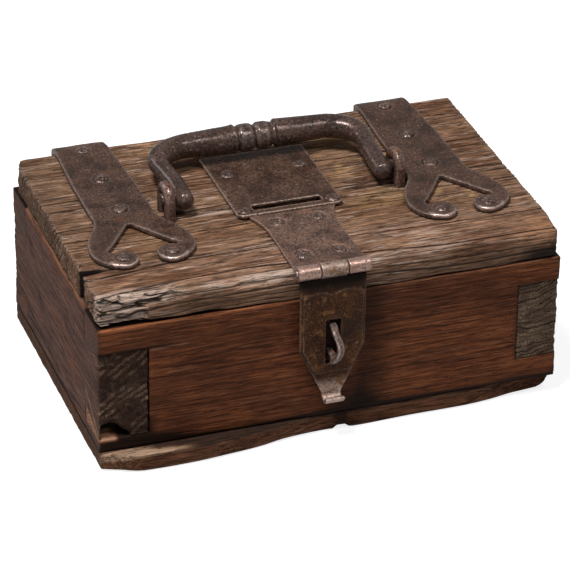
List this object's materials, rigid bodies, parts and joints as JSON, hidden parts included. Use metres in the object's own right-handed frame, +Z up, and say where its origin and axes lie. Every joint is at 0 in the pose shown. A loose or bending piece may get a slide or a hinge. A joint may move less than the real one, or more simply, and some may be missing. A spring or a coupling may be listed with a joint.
{
  "type": "offering box",
  "caption": "Iron-bound wooden offering box with a dovetailed plank body, hinged lid with a coin slot, forked strap hinges, bail handle and a hasp that drops over a staple.",
  "frame": {"origin": "middle of the base board's underside, where the box stands", "axes": "+X along the box's length to the right, +Y to the back where the hinges are, +Z up"},
  "size_m": [0.28, 0.212, 0.1342],
  "materials": {
    "lid_wood": "weathered softwood, raised grain",
    "box_wood": "worn red-brown softwood, smooth",
    "end_wood": "dark end grain and aged boards",
    "base_wood": "worn brown softwood",
    "strap_iron": "forged iron, dark brown patina",
    "plate_iron": "forged iron sheet, pitted dark patina",
    "hasp_iron": "forged iron, brown and grimy",
    "handle_iron": "forged iron, polished by hands",
    "staple_iron": "forged iron, worn grey with rust",
    "nail_iron": "forged iron, bright on the crowns"
  },
  "bodies": {
    "box": {"base_board": "base_wood", "front_board": "box_wood", "back_board": "box_wood", "left_end_board": "end_wood", "right_end_board": "end_wood", "base_nails": "nail_iron", "hasp_staple": "staple_iron", "left_hinge_leaf": "strap_iron", "right_hinge_leaf": "strap_iron", "left_leaf_nails": "nail_iron", "right_leaf_nails": "nail_iron", "left_hinge_pin": "strap_iron", "right_hinge_pin": "strap_iron"},
    "lid": {"lid_rear_board": "lid_wood", "lid_front_board": "lid_wood", "lid_dowels": "end_wood", "left_strap": "strap_iron", "right_strap": "strap_iron", "left_strap_nails": "nail_iron", "right_strap_nails": "nail_iron", "coin_slot_plate": "plate_iron", "slot_plate_nails": "nail_iron", "hasp_leaf": "plate_iron", "hasp_leaf_nails": "nail_iron", "hasp_pin": "staple_iron", "left_handle_eye": "staple_iron", "right_handle_eye": "staple_iron"},
    "handle": {"handle": "handle_iron"},
    "hasp": {"hasp": "hasp_iron"}
  },
  "joints": [
    {"name": "lid_hinge", "type": "hinge", "parent": "box", "child": "lid", "pos_m": [0, 0.0958, 0.092], "axis": [-1, 0, 0], "range_deg": [0, 105]},
    {"name": "hasp_hinge", "type": "hinge", "parent": "lid", "child": "hasp", "pos_m": [-0.0025, -0.0949, 0.1115], "axis": [-1, 0, 0], "range_deg": [0, 170]},
    {"name": "handle_swing", "type": "hinge", "parent": "lid", "child": "handle", "pos_m": [-0.0016, -0.003, 0.1205], "axis": [1, 0, 0], "range_deg": [0, 170]}
  ]
}
